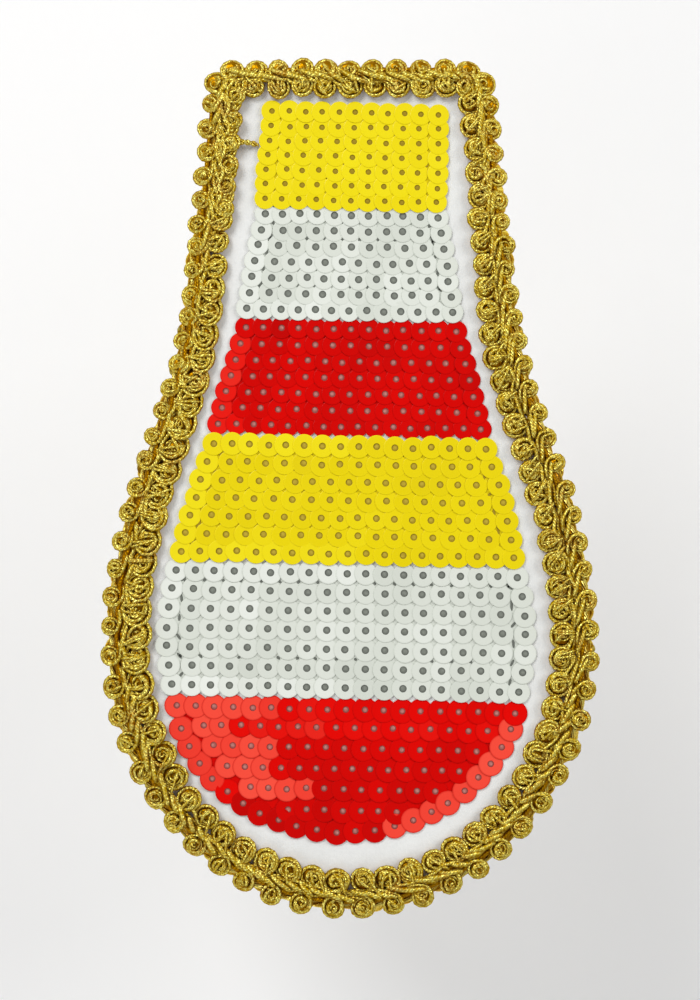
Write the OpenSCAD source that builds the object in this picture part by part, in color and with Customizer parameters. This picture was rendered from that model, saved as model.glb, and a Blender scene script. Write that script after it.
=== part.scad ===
// Sequinned shoulder epaulette: a felt board with six bands of flat sequins, a looped gold braid round its edge
// and a hanging fringe of twisted gold cords.
// The board lies level with its narrow neck end toward +X and its round end toward -X.
// The origin is the middle of the board's underside, which sits on the shoulder.
// All sizes are in millimetres.

/* [Outline] */
// From the origin to the braid's centre line at the neck end
neck_x = 95.3; // [92:0.1:99]
// Half of the distance between the braid's centre lines at the neck end
neck_half = 29.6; // [27:0.1:32]
// How far each side spreads for each millimetre from the neck end
neck_spread = 0.09; // [0.06:0.01:0.11]
// Radius of the two neck corners, on the braid's centre line
corner_r = 3; // [2:0.5:6]
// Where the sides begin to flare
flare_x = 45; // [38:1:50]
// Where the epaulette is widest and the round end begins
round_x = -36; // [-39:0.5:-33]
// Half of the distance between the braid's centre lines at the widest place
round_half = 52.2; // [50:0.1:54]
// From the widest place to the round tip, on the braid's centre line
round_reach = 58.2; // [56:0.1:60]

/* [Board] */
// Thickness of the felt board
board_t = 2.5; // [1.5:0.1:3]
// How far the board reaches past the braid's centre line
board_past = 0.6; // [0:0.1:1]

/* [Sequins] */
// Diameter of one sequin
sequin_d = 5; // [4.6:0.1:5.4]
// Height of a field of overlapping sequins
sequin_t = 0.6; // [0.4:0.1:0.8]

/* [Braid] */
// Width of the braid at the neck end
braid_w_neck = 9.4; // [9:0.1:11]
// Width of the braid at the round end
braid_w_round = 12.2; // [11:0.1:13]
// Length of braid that one loop takes
loop_pitch = 5.8; // [5:0.1:7]
// Depth of the notch between two loops
loop_depth = 2; // [1:0.1:2.4]
// Height of the loops
loop_t = 2.6; // [1.6:0.1:3]
// Height of the cords along the braid's middle
ridge_t = 3.2; // [2:0.1:3.4]
// Width of the cords along the braid's middle
ridge_w = 4; // [3:0.1:5]

/* [Fringe] */
// How many cords hang from the epaulette
cord_count = 44; // [40:2:44]
// Distance between two hanging cords
cord_pitch = 8.5; // [8.3:0.1:8.7]
// Diameter of a hanging cord across its two plies
cord_d = 6; // [5:0.1:6.4]
// Thickness of one ply
ply_d = 3.5; // [3:0.1:4]
// Length of cord in one whole twist
twist_pitch = 14.4; // [12:0.1:18]
// Length of an ordinary cord below the heading
cord_l = 66; // [56:1:72]
// How much the cords differ in length, each way
cord_l_spread = 5; // [0:0.5:6]
// Height of the heading that the cords hang from
heading_h = 9; // [7:0.5:11]
// Thickness of the heading
heading_t = 3.4; // [2.6:0.1:4]

/* [Hidden] */

gap = 0.1;
yellow = [0.98, 0.86, 0.05];
white = [0.88, 0.91, 0.87];
red = [0.82, 0.06, 0.05];
gold = [0.72, 0.55, 0.13];
felt = [0.93, 0.93, 0.92];

// The outline. Every edge is the braid's centre line moved out by d, or in where d is below zero.
tightest_corner_r = 2.6;
flare_steps = 14;
round_steps = 20;
flare_half = neck_half + (neck_x - flare_x) * neck_spread;
flare_pull = 30;
round_pull = 34;

function mix(a, b, t) = a + (b - a) * t;
function curve(p, t) = pow(1 - t, 3) * p[0] + 3 * pow(1 - t, 2) * t * p[1]
    + 3 * (1 - t) * t * t * p[2] + t * t * t * p[3];
function corner_points(d) =
    let (r = max(corner_r + d, tightest_corner_r), c = [neck_x + d - r, neck_half + d - r])
    [for (a = [0 : 15 : 90]) c + r * [cos(a), sin(a)]];
function flare_points(d) =
    let (start = [flare_x, flare_half + d], end = [round_x, round_half + d])
    let (handles = [start, start + flare_pull * [-1, neck_spread], end + [round_pull, 0], end])
    [for (i = [0 : flare_steps]) curve(handles, i / flare_steps)];
function round_points(d) = [for (i = [1 : round_steps]) let (a = 90 + 90 * i / round_steps)
    [round_x + (round_reach + d) * cos(a), i == round_steps ? 0 : (round_half + d) * sin(a)]];
function half_line(d) = concat([[neck_x + d, 0]], corner_points(d), flare_points(d), round_points(d));
function outline(d) = let (h = half_line(d), n = len(h))
    concat(h, [for (i = [n - 2 : -1 : 1]) [h[i].x, -h[i].y]]);

// A walk along an outline from the neck end's middle, round the +Y side first. Its table holds two lookup
// tables, length to x and length to y, and the half outline's length.
function lengths(p) = [for (i = 0, s = 0; i < len(p);
    s = s + (i + 1 < len(p) ? norm(p[i + 1] - p[i]) : 0), i = i + 1) s];
function walk_table(d) = let (h = half_line(d), s = lengths(h))
    [[for (i = [0 : len(h) - 1]) [s[i], h[i].x]], [for (i = [0 : len(h) - 1]) [s[i], h[i].y]], s[len(h) - 1]];
function walk(w, s) = s < 0 ? mirrored(walk(w, -s)) : s > w[2] ? mirrored(walk(w, 2 * w[2] - s))
    : [lookup(s, w[0]), lookup(s, w[1])];
function mirrored(p) = [p.x, -p.y];
function outward(w, s) = let (t = walk(w, s + 0.3) - walk(w, s - 0.3)) [t.y, -t.x] / norm(t);

// The felt board.
module backing_board() {
    color(felt)
        linear_extrude(board_t)
            polygon(outline(board_past));
}

// The sequin bands, one row each from the neck to the round end.
// Columns: x of the edge toward the neck, half width there, sequins across the first row and across the last.
first_x = 0;
first_half = 1;
count_first = 2;
count_last = 3;
band_rows = 7;
bands = [
    [88.7, 21.6, 11, 11],
    [64.5, 22.6, 11, 13],
    [38.7, 26.5, 13, 16],
    [12.8, 33.3, 16, 19],
    [-17.8, 41.8, 19, 19],
    [-49.0, 42.6, 19, 9]
];
field_reach = 46.7;
field_half = 44;
sequin_z = board_t + gap;

function band_x(b, r) = mix(bands[b][first_x], bands[b + 1][first_x], (r + 0.5) / band_rows);
function band_half(b, r) =
    mix(bands[b][first_half], bands[b + 1][first_half], (r + 0.5) / band_rows) - sequin_d / 2;
function band_count(b, r) = round(mix(bands[b][count_first], bands[b][count_last], r / (band_rows - 1)));
function row_points(b, r) = let (n = band_count(b, r), h = band_half(b, r))
    [for (j = [0 : n - 1]) [band_x(b, r), mix(-h, h, j / (n - 1))]];
function rim_points(b) = let (last = band_rows - 1) concat(
    row_points(b, 0),
    [for (r = [1 : last - 1]) [band_x(b, r), band_half(b, r)]],
    reversed(row_points(b, last)),
    [for (r = [last - 1 : -1 : 1]) [band_x(b, r), -band_half(b, r)]]);
function reversed(p) = [for (i = [len(p) - 1 : -1 : 0]) p[i]];

// The last band is a half oval, with a row of sequins along its curve.
oval_start = asin((round_x - bands[5][first_x] + sequin_d / 2) / field_reach);
oval_rim = 24;
function oval_point(a) =
    [round_x - (field_reach - sequin_d / 2) * sin(a), (field_half - sequin_d / 2) * cos(a)];
function oval_points() = concat(
    [for (j = [0 : bands[5][count_first] - 1]) let (h = oval_point(oval_start).y)
        [oval_point(oval_start).x, mix(-h, h, j / (bands[5][count_first] - 1))]],
    [for (i = [1 : oval_rim - 1]) oval_point(mix(oval_start, 180 - oval_start, i / oval_rim))]);

module sequin_outline(points, d) {
    polygon(points);
    for (p = points)
        translate(p) circle(d = d, $fn = 24);
}

function band_points(b) = b == 5 ? oval_points() : rim_points(b);

module sequin_band(b, above = []) {
    translate([0, 0, sequin_z])
        linear_extrude(sequin_t)
            difference() {
                sequin_outline(band_points(b), sequin_d);
                for (other = above)
                    sequin_outline(band_points(other), sequin_d + 2 * gap);
            }
}

module sequin_band_1_yellow() { color(yellow) sequin_band(0); }
module sequin_band_2_white() { color(white) sequin_band(1, [0]); }
module sequin_band_3_red() { color(red) sequin_band(2, [1, 3]); }
module sequin_band_4_yellow() { color(yellow) sequin_band(3); }
module sequin_band_5_white() { color(white) sequin_band(4, [3]); }
module sequin_band_6_red() { color(red) sequin_band(5, [4]); }

// The braid: two rows of loops, side by side, and the cords that run between them.
centre_walk = walk_table(0);
centre_l = 2 * centre_walk[2];
loop_count = round(centre_l / loop_pitch);
braid_z = board_t + gap;
// How far a loop's edge bulges, at five places along the loop
loop_places = [0, 0.14, 0.36, 0.64, 0.86];
function bulge(v) = sqrt(1 - pow(2 * v - 1, 2));
function braid_w(x) = mix(braid_w_round, braid_w_neck, (x - round_x) / (neck_x - round_x));
function looped_outer() = [for (i = [0 : loop_count - 1]) for (v = loop_places)
    let (s = (i + v) * centre_l / loop_count, p = walk(centre_walk, s), w = min(braid_w(p.x), braid_w_round))
    p + outward(centre_walk, s) * (w / 2 - loop_depth * (1 - bulge(v)))];
inner_walk = walk_table(-braid_w_neck / 2 + loop_depth);
function looped_inner() = [for (i = [0 : loop_count - 1]) for (v = loop_places)
    let (s = (i + v) * 2 * inner_walk[2] / loop_count, p = walk(inner_walk, s))
    let (w = min(braid_w(p.x), braid_w_round))
    p - outward(inner_walk, s) * ((w - braid_w_neck) / 2 + loop_depth * bulge(v))];

module ring(height) {
    linear_extrude(height)
        difference() {
            children(0);
            children(1);
        }
}

module loop_braid() {
    color(gold)
        translate([0, 0, braid_z]) {
            ring(loop_t) {
                polygon(looped_outer());
                polygon(looped_inner());
            }
            ring(ridge_t) {
                polygon(outline(ridge_w / 2));
                polygon(outline(-ridge_w / 2));
            }
        }
}

// The fringe. Its heading is sewn to the board's edge, under the overhang of the braid.
heading_top = braid_z - gap;
// The heading's distance from the board's edge, where the stitches are
edge_gap = 0.3;
heading_walk = walk_table(board_past + edge_gap + heading_t / 2);
tip_s = heading_walk[2];
section_gap = 0.2;
// Numbers between 0 and 1 that look unordered, the same for each cord every time
golden = 0.618034;
function vary(i, k) = let (v = (i + 1) * golden + k * 0.37) v - floor(v);

// The cords are counted from the neck along the +Y side, round the tip and back along the -Y side.
last_cord = cord_count - 1;
function cord_s(i) = tip_s + (i - last_cord / 2) * cord_pitch;
// 0 at the neck, 1 at the round tip
function toward_tip(i) = 1 - abs(2 * i / last_cord - 1);
function at_neck(i) = i == 0 || i == last_cord;
function side(i) = 2 * i < last_cord ? 1 : -1;
function ease(v, from, to) = let (t = min(1, max(0, (v - from) / (to - from)))) t * t * (3 - 2 * t);
// How far a cord's end stands out from the edge. The cords flare most at the round tip.
side_flare = 2.5;
tip_flare = 15;
flare_spread = 2.5;
function lean_out(i) = mix(side_flare, tip_flare, pow(toward_tip(i), 1.5)) + flare_spread * vary(i, 2);
// How far a cord's end leans along the edge toward the round tip. Those near the neck lean back to it, and the
// last cord on each side swings out toward it. Away from the neck the ends huddle in groups.
neck_lean = -6;
side_lean = 12;
swing = -45;
swing_drop = 0.9;
lean_spread = 0.3;
huddle = 2.2;
huddle_turn = 62;
function lean_along(i) = let (v = toward_tip(i), lean = mix(neck_lean, side_lean, ease(v, 0.08, 0.42)))
    at_neck(i) ? swing : lean * (1 - ease(v, 0.7, 1)) + lean_spread * (2 * vary(i, 3) - 1)
        + huddle * ease(v, 0.06, 0.22) * sin(huddle_turn * i);
longer_at_tip = 6;
function cord_length(i) = cord_l + cord_l_spread * (2 * vary(i, 1) - 1) + longer_at_tip * toward_tip(i);
sway_d = 0.8;
// How much of a cord's top is inside the heading
buried = 4;
cord_top = heading_top - heading_h + buried;
function cord_point(i, u) =
    let (s = cord_s(i), p = walk(heading_walk, s), n = outward(heading_walk, s), t = [-n.y, n.x] * side(i))
    let (sway = sway_d * sin(360 * (1.2 * u + 0.06 * i)) * u)
    let (q = p + n * (lean_out(i) * pow(u, 1.2)) + t * (lean_along(i) * pow(u, 1.6) + sway))
    [q.x, q.y, cord_top - (cord_length(i) * (at_neck(i) ? swing_drop : 1) + buried) * u];

// One cord is a flat section, as wide as the two plies side by side, that turns from ring to ring.
rings_per_twist = 5;
section_w = 0.94 * cord_d;
section_t = 0.9 * ply_d;
function cord_rings(i) = round((cord_length(i) + buried) / twist_pitch * rings_per_twist);
// Where the plies turn back on themselves, the cord ends in a knob: the last ring but one is square, and the
// last one small.
knob_t = 0.9 * cord_d;
knob_end = 0.5;
function cord_section(turn, w, t) = [for (q = [[1, 1], [-1, 1], [-1, -1], [1, -1]])
    let (x = q.x * w / 2, y = q.y * t / 2)
    [x * cos(turn) - y * sin(turn), x * sin(turn) + y * cos(turn)]];
function twisted_points(i) =
    let (n = cord_rings(i))
    [for (r = [0 : n])
        let (shrink = r == n ? knob_end : 1, w = section_w * shrink)
        let (t = (r < n - 1 ? section_t : knob_t) * shrink, turn = 360 * (vary(i, 5) - r / rings_per_twist))
        for (q = cord_section(turn, w, t)) cord_point(i, r / n) + [q.x, q.y, 0]];

// The faces of a solid whose rings have m points each, from ring 0 to ring n.
function ring_faces(m, n) = concat(
    [for (k = [1 : m - 2]) [0, k + 1, k]],
    [for (r = [0 : n - 1]) for (k = [0 : m - 1])
        let (a = r * m + k, b = r * m + (k + 1) % m)
        each [[a, b, b + m], [a, b + m, a + m]]],
    [for (k = [1 : m - 2]) [n * m, n * m + k, n * m + k + 1]]);

module hanging_cord(i) {
    polyhedron(twisted_points(i), ring_faces(4, cord_rings(i)), convexity = 6);
}

// The heading is cord laid along the edge in slanted turns, which stand out and fall back by turns.
heading_rows = 4;
heading_relief = 0.9;
function heading_section(s, step) =
    let (p = walk(heading_walk, s), n = outward(heading_walk, s), bottom = heading_top - heading_h)
    [for (q = concat(
        [[-heading_t / 2, heading_top], [-heading_t / 2, bottom]],
        [for (k = [0 : heading_rows])
            [heading_t / 2 - ((k + step) % 2) * heading_relief, bottom + k * heading_h / heading_rows]]))
        [p.x + q.x * n.x, p.y + q.x * n.y, q.y]];

module heading(from, to) {
    start = cord_s(from) - (cord_pitch - section_gap) / 2;
    end = cord_s(to) + (cord_pitch - section_gap) / 2;
    steps = 2 * (to - from + 1);
    points = [for (i = [0 : steps]) each heading_section(mix(start, end, i / steps), i)];
    polyhedron(points, ring_faces(heading_rows + 3, steps), convexity = 6);
}

// The fringe is made in seven lengths, counted from the neck along the +Y side: the cord that swings out at each
// neck end, by itself so that the gap beside it stays open, and five lengths between them.
sections = 5;
function section_start(k) = min(last_cord, max(1, round(k * cord_count / sections)));
module end_cord(i) {
    color(gold)
        union() {
            heading(i, i);
            hanging_cord(i);
        }
}
module fringe(k) {
    from = section_start(k);
    to = section_start(k + 1) - 1;
    color(gold)
        union() {
            heading(from, to);
            for (i = [from : to])
                hanging_cord(i);
        }
}

module fringe_back_end_cord() { end_cord(0); }
module fringe_back_neck() { fringe(0); }
module fringe_back_side() { fringe(1); }
module fringe_round_end() { fringe(2); }
module fringe_front_side() { fringe(3); }
module fringe_front_neck() { fringe(4); }
module fringe_front_end_cord() { end_cord(last_cord); }

backing_board();
sequin_band_1_yellow();
sequin_band_2_white();
sequin_band_3_red();
sequin_band_4_yellow();
sequin_band_5_white();
sequin_band_6_red();
loop_braid();
fringe_back_end_cord();
fringe_back_neck();
fringe_back_side();
fringe_round_end();
fringe_front_side();
fringe_front_neck();
fringe_front_end_cord();
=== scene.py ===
# Shoulder epaulette: a felt board, six bands of sequins, a looped gold braid and a fringe of gold cords.
# Lengths are in millimetres until a mesh is made, and the neck end points along +X.
import math

import bpy
import numpy as np
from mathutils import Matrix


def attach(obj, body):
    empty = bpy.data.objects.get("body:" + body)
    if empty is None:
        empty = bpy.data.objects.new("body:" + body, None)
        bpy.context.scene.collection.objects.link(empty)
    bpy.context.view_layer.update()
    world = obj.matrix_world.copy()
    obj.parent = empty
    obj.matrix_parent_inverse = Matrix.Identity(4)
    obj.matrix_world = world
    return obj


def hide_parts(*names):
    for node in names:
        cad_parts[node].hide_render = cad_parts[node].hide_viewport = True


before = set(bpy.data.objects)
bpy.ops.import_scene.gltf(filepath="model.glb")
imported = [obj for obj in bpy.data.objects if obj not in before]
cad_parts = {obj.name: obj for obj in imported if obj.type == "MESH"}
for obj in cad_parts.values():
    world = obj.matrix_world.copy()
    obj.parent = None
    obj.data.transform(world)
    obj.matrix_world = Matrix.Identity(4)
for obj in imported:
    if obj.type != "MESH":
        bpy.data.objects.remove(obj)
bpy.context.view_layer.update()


# The felt board.
# A stiff white felt, cut to a keyhole outline. It shows as a pale margin between the sequins and the braid,
# and bare underneath. Its edge is hidden in the braid and the fringe's heading.
MM = 0.001
NECK_X, NECK_HALF, NECK_SPREAD, CORNER_R = 95.3, 29.6, 0.09, 3.0
FLARE_X, ROUND_X, ROUND_HALF, ROUND_REACH = 45.0, -36.0, 52.2, 58.2
FLARE_HALF = NECK_HALF + (NECK_X - FLARE_X) * NECK_SPREAD
# How strongly the curved side keeps its direction where it begins and where it ends
FLARE_PULL, ROUND_PULL = 30, 34
TIGHTEST_CORNER_R = 2.6
BOARD_T = 2.5
# How far the felt reaches past the braid's centre line
BOARD_PAST = 0.6


def corner_points(past):
    """The neck corner of the braid's centre line moved out by past."""
    r = max(CORNER_R + past, TIGHTEST_CORNER_R)
    a = np.radians(np.arange(0, 91, 15))
    return np.column_stack([NECK_X + past - r + r * np.cos(a), NECK_HALF + past - r + r * np.sin(a)])


def flare_points(past):
    """The side, from where it begins to spread to the widest place."""
    start = np.array([FLARE_X, FLARE_HALF + past])
    end = np.array([ROUND_X, ROUND_HALF + past])
    handles = [start, start + FLARE_PULL * np.array([-1, NECK_SPREAD]), end + np.array([ROUND_PULL, 0]), end]
    t = np.linspace(0, 1, 15)[:, None]
    weights = [(1 - t) ** 3, 3 * (1 - t) ** 2 * t, 3 * (1 - t) * t * t, t**3]
    return sum(w * h for w, h in zip(weights, handles))


def half_line(past):
    """Half of the outline, from the neck end's middle round the +Y side to the tip."""
    a = np.radians(np.linspace(90, 180, 21)[1:])
    tip = np.column_stack([ROUND_X + (ROUND_REACH + past) * np.cos(a), (ROUND_HALF + past) * np.sin(a)])
    tip[-1, 1] = 0
    return np.vstack([[[NECK_X + past, 0]], corner_points(past), flare_points(past), tip])


def outline(past):
    """The whole outline, closed."""
    half = half_line(past)
    return np.vstack([half, half[-2:0:-1] * [1, -1]])


# A face's corners the other way round, from the same first one
BACKWARD = [0, 3, 2, 1]


def ring_strips(rings, sides, start=0, closed=False):
    """The four-sided faces between rings of points, and from the last ring to the first if they close."""
    k = np.arange(sides)
    step = (k + 1) % sides
    found = []
    for r in range(rings if closed else rings - 1):
        low, high = start + r * sides, start + (r + 1) % rings * sides
        found.append(np.column_stack([low + k, high + k, high + step, low + step]))
    return np.vstack(found)


def new_piece(name, points, faces, point_values=None, corner_values=None, smooth=True):
    """A mesh object from points in millimetres. Its points can carry numbers, and its corners vectors."""
    mesh = bpy.data.meshes.new(name)
    sizes = np.array([len(f) for f in faces], dtype=np.int32)
    corners = np.concatenate([np.asarray(f, dtype=np.int32) for f in faces])
    mesh.vertices.add(len(points))
    mesh.vertices.foreach_set("co", (np.asarray(points) * MM).astype(np.float32).ravel())
    mesh.loops.add(len(corners))
    mesh.loops.foreach_set("vertex_index", corners)
    mesh.polygons.add(len(sizes))
    mesh.polygons.foreach_set("loop_start", np.concatenate([[0], np.cumsum(sizes)[:-1]]).astype(np.int32))
    mesh.polygons.foreach_set("use_smooth", np.full(len(sizes), smooth))
    for label, values in (point_values or {}).items():
        layer = mesh.attributes.new(label, "FLOAT", "POINT")
        layer.data.foreach_set("value", np.asarray(values, np.float32))
    for label, values in (corner_values or {}).items():
        layer = mesh.attributes.new(label, "FLOAT_VECTOR", "CORNER")
        layer.data.foreach_set("vector", np.asarray(values, np.float32).ravel())
    mesh.update(calc_edges=True)
    mesh.validate()
    piece = bpy.data.objects.new(name, mesh)
    bpy.context.scene.collection.objects.link(piece)
    return piece


def dress(piece, material, slot, *nodes):
    """Gives a piece its material and its place in the frame."""
    piece.data.materials.append(material)
    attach(piece, "root")
    if nodes:
        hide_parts(*nodes)


def paint(r, g, b):
    """A colour as a picture gives it, 0 to 255, as a shader takes it."""
    line = [c / 255 for c in (r, g, b)]
    return (*[c / 12.92 if c <= 0.04045 else ((c + 0.055) / 1.055) ** 2.4 for c in line], 1.0)


def place(tree, kind, inputs=None, **settings):
    """Adds a node. An input is a plain value, or the output of another node."""
    made = tree.nodes.new(kind)
    for key, value in settings.items():
        setattr(made, key, value)
    for key, value in (inputs or {}).items():
        if isinstance(value, bpy.types.NodeSocket):
            tree.links.new(value, made.inputs[key])
        else:
            made.inputs[key].default_value = value
    return made


def new_material(name):
    """A material, its node tree and its Principled shader."""
    material = bpy.data.materials.new(name)
    material.use_nodes = True
    return material, material.node_tree, material.node_tree.nodes["Principled BSDF"]


def noise(tree, scale, detail, roughness=0.5):
    """An uneven pattern that stays with the object, from 0 to 1."""
    place_on = place(tree, "ShaderNodeTexCoord").outputs["Object"]
    inputs = {"Vector": place_on, "Scale": scale, "Detail": detail, "Roughness": roughness}
    return place(tree, "ShaderNodeTexNoise", inputs).outputs["Fac"]


def reckon(tree, kind, a, b=0.0, c=0.0):
    """One step of arithmetic."""
    return place(tree, "ShaderNodeMath", {0: a, 1: b, 2: c}, operation=kind).outputs[0]


def mix_colour(tree, share, low, high):
    """Goes from the low colour to the high one. Sockets 6 and 7 and output 2 are the Mix node's colours."""
    return place(tree, "ShaderNodeMix", {0: share, 6: low, 7: high}, data_type="RGBA").outputs[2]


def relief(tree, shader, height, strength, distance):
    """Low relief, which shows in the light alone."""
    bump = place(tree, "ShaderNodeBump", {"Height": height, "Strength": strength, "Distance": distance})
    tree.links.new(bump.outputs["Normal"], shader.inputs["Normal"])


felt, tree, shader = new_material("white_felt")
nap = noise(tree, scale=1400.0, detail=5.0, roughness=0.7)
tufts = noise(tree, scale=160.0, detail=3.0)
shade = reckon(tree, "MULTIPLY_ADD", tufts, 0.45, reckon(tree, "MULTIPLY", nap, 0.55))
felt_colour = mix_colour(tree, shade, paint(222, 223, 221), paint(250, 251, 249))
tree.links.new(felt_colour, shader.inputs["Base Color"])
relief(tree, shader, shade, strength=0.5, distance=0.0004)
shader.inputs["Roughness"].default_value = 0.95
shader.inputs["Sheen Weight"].default_value = 0.25
shader.inputs["Sheen Roughness"].default_value = 0.6

# The board as rings, each with its distance past the braid's centre line and its height. The edge is rounded,
# and the top inside it is a little uneven, as pressed felt is.
BOARD_RINGS = [
    (BOARD_PAST - 0.5, 0.0), (BOARD_PAST - 0.1, 0.2), (BOARD_PAST, 0.7), (BOARD_PAST, 1.8),
    (BOARD_PAST - 0.15, 2.3), (BOARD_PAST - 0.6, BOARD_T),
    *[(past, BOARD_T) for past in (-3.0, -5.0, -7.0, -9.0, -11.0, -14.0)]
]
UNEVEN_PAST, UNEVEN_H = -2.0, 0.06
points = []
for past, z in BOARD_RINGS:
    line = outline(past)
    x, y = line.T
    lift = UNEVEN_H * np.sin(x * 0.61 + y * 0.23) * np.cos(y * 0.47) * (past < UNEVEN_PAST)
    points.append(np.column_stack([line, z + lift]))
around = len(points[0])
foot = np.arange(around)
lid = (len(BOARD_RINGS) - 1) * around + foot
faces = [foot[::-1], *ring_strips(len(BOARD_RINGS), around)[:, BACKWARD], lid]
board = new_piece("felt_board", np.vstack(points), faces)
dress(board, felt, "white_felt", "backing_board")
x, y = outline(BOARD_PAST).T * MM


# The sequins.
# Flat plastic discs with a hole, 5 mm across, sewn row by row through their holes so that each one lies over
# the next. Every band has an outer line of discs, which stands a little apart from the rows inside it.
HOLE_R = {"yellow": 0.8, "white": 0.87, "red": 0.76}
FIRST_HOLE_SHARE = 0.82
SEQUIN_T = 0.1
BAND_ROWS = 7
# Each band's first and last row: x, half width between the outer discs' middles, y of the row's middle, how
# many discs. Then how far the sides bulge between them, the discs' radius, and the rows after which thread
# shows, painted dark as it lies in shade.
BANDS = [
    ((87.3, 19.2, -1.2, 11), (66.9, 19.9, -0.1, 11), 0.2, 2.5, (4,)),
    ((63.5, 20.1, -0.4, 11), (41.3, 24.0, 0.1, 13), 0.2, 2.5, (2, 5)),
    ((37.0, 24.5, -0.3, 13), (14.4, 30.5, 0.1, 16), 0.3, 2.55, ()),
    ((9.7, 31.6, 0.0, 16), (-15.3, 38.7, 0.5, 19), 0.6, 2.68, (2,)),
    ((-19.8, 39.6, 0.7, 19), (-46.4, 40.3, 1.1, 19), 1.7, 2.66, (1, 5)),
]
# The last band is a half oval: straight rows, each with its x, half width, y of its middle and count, and
# round them the outer line on a curve
OVAL_BAND = 5
OVAL_ROWS = [
    (-51.5, 39.3, 0.9, 19), (-55.7, 33.1, 1.1, 16), (-60.4, 30.6, 1.2, 15), (-65.2, 27.0, 1.5, 14),
    (-70.0, 21.5, 1.7, 11), (-75.0, 12.6, 1.8, 7)
]
OVAL_X, OVAL_Y, OVAL_REACH, OVAL_HALF = -45.9, 1.0, 34.0, 40.0
OVAL_RIM = 22
OVAL_DISC_R = 2.9
ROW_SLOPE = 0.022
EDGE_GAP_SHARE = 1.17
# How a disc leans on its neighbours: its rise toward the round end and across, per millimetre, and how far
# single discs depart from that
LEAN, LEAN_SCATTER = np.array([-0.034, 0.03]), 0.006
EDGE_LIFT = 0.04
# A sheet of film closes the band from below: how far its two faces lie under the discs, and its tone, a
# little deeper than the discs' as painted shade in the gaps between them
SHEET_FOOT, SHEET_TOP, SHEET_SHADE_TONE = 0.3, 0.25, 0.4
rng = np.random.default_rng(11)


def mix(a, b, t):
    """Goes from a to b as t goes from 0 to 1."""
    return a + (b - a) * t


def straight_row(x, half, middle, count, stands_apart):
    """The discs of a row, as x, y and whether each is in the outer line. The outer two can stand apart."""
    if stands_apart:
        step = 2 * half / (count - 3 + 2 * EDGE_GAP_SHARE)
        inside = half - EDGE_GAP_SHARE * step
        across = [half, *np.linspace(inside, -inside, count - 2), -half]
    else:
        across = np.linspace(half, -half, count)
    edge = [1] + [0 if stands_apart else 1] * (count - 2) + [1]
    return [(x + ROW_SLOPE * y, y + middle, e) for y, e in zip(across, edge)]


def oval_line():
    """The outer line of the last band, evenly spaced along the curve."""
    start = math.asin((OVAL_X - OVAL_ROWS[0][0]) / OVAL_REACH)
    a = np.linspace(start, math.pi - start, 400)
    x, y = OVAL_X - OVAL_REACH * np.sin(a), OVAL_Y + OVAL_HALF * np.cos(a)
    length = np.concatenate([[0], np.cumsum(np.hypot(np.diff(x), np.diff(y)))])
    along = np.linspace(0, length[-1], OVAL_RIM + 2)[1:-1]
    return [(u, v, 1) for u, v in zip(np.interp(along, length, x), np.interp(along, length, y))]


def band_rows(band):
    """The rows of a band."""
    if band == OVAL_BAND:
        rows = [[(x, y, 0) for x, y, _ in straight_row(*row, False)] for row in OVAL_ROWS]
        rows[0][0], rows[0][-1] = (*rows[0][0][:2], 1), (*rows[0][-1][:2], 1)
        return [*rows, oval_line()]
    first, last, bulge = BANDS[band][:3]
    rows = []
    for row in range(BAND_ROWS):
        t = row / (BAND_ROWS - 1)
        x, half, middle, count = (mix(a, b, t) for a, b in zip(first, last))
        half += bulge * 4 * t * (1 - t)
        # A row takes one more disc as soon as there is room for three quarters of it
        rows.append(straight_row(x, half, middle, int(count + 0.25), 0 < row < BAND_ROWS - 1))
    return rows


# One disc as rings, from the hole's foot over the top and round the rim: share of the way from the hole's
# edge to the rim, height, nearness to the rim, which carries the painted light and shade of the disc's edge
DISC_RINGS = np.array([
    (0.0, -SEQUIN_T, 0), (0.0, -0.02, 0), (0.04, 0, 0), (0.8, 0.004, 0),
    (0.93, 0.0, 0.5), (1.0, -0.035, 1), (1.0, -SEQUIN_T, 1)
])
DISC_SIDES = 24
# The knot in a hole, as rings: share of the hole's radius, height
EYE_RINGS = np.array([(1.12, 0.0), (0.6, 0.05), (0.28, 0.08)])
EYE_SIDES = 10


def circle(sides):
    """The cosines and sines of the points round a circle."""
    a = np.arange(sides) * 2 * math.pi / sides
    return np.cos(a), np.sin(a)


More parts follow.
